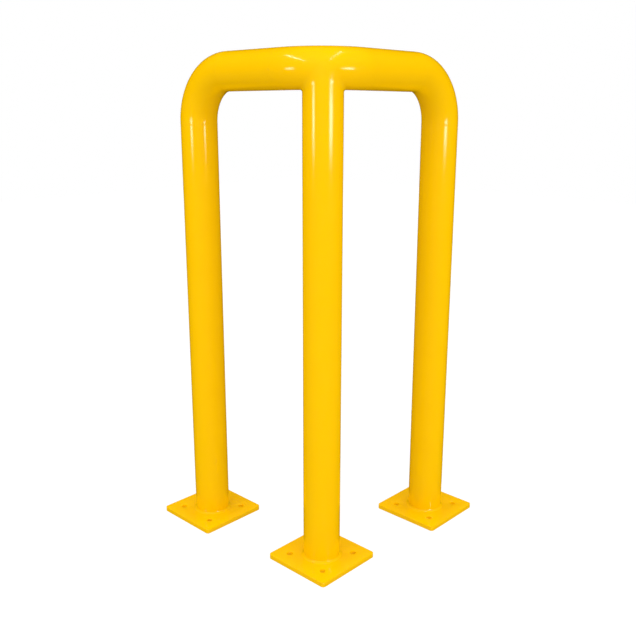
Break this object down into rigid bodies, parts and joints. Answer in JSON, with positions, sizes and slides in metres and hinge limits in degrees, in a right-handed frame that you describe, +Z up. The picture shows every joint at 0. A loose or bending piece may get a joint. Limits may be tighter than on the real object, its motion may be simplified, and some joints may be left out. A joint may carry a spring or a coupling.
{
  "type": "corner safety bollard",
  "caption": "Steel corner guard: a yellow tubular hoop that turns a right angle over a corner post and bends down into side legs, each foot welded to a square bolt-down plate.",
  "frame": {"origin": "centre of the corner base plate's underside, on the corner post's axis and on the floor", "axes": "+Z up; the right arm runs along +X and the left arm along +Y, so the protected corner points towards -X -Y and the plane x = y is the plane of symmetry"},
  "size_m": [0.6, 0.6, 1.2002],
  "materials": {
    "powder_coat": "gloss safety-yellow powder coat"
  },
  "bodies": {
    "root": {"corner_post": "powder_coat", "right_leg": "powder_coat", "left_leg": "powder_coat", "corner_elbow": "powder_coat", "right_elbow": "powder_coat", "left_elbow": "powder_coat", "right_arm": "powder_coat", "left_arm": "powder_coat", "corner_base_plate": "powder_coat", "right_base_plate": "powder_coat", "left_base_plate": "powder_coat", "corner_base_weld": "powder_coat", "right_base_weld": "powder_coat", "left_base_weld": "powder_coat", "post_saddle_weld": "powder_coat", "right_leg_top_weld": "powder_coat", "left_leg_top_weld": "powder_coat", "right_arm_outer_weld": "powder_coat", "left_arm_outer_weld": "powder_coat", "right_arm_corner_weld": "powder_coat", "left_arm_corner_weld": "powder_coat"}
  },
  "joints": []
}
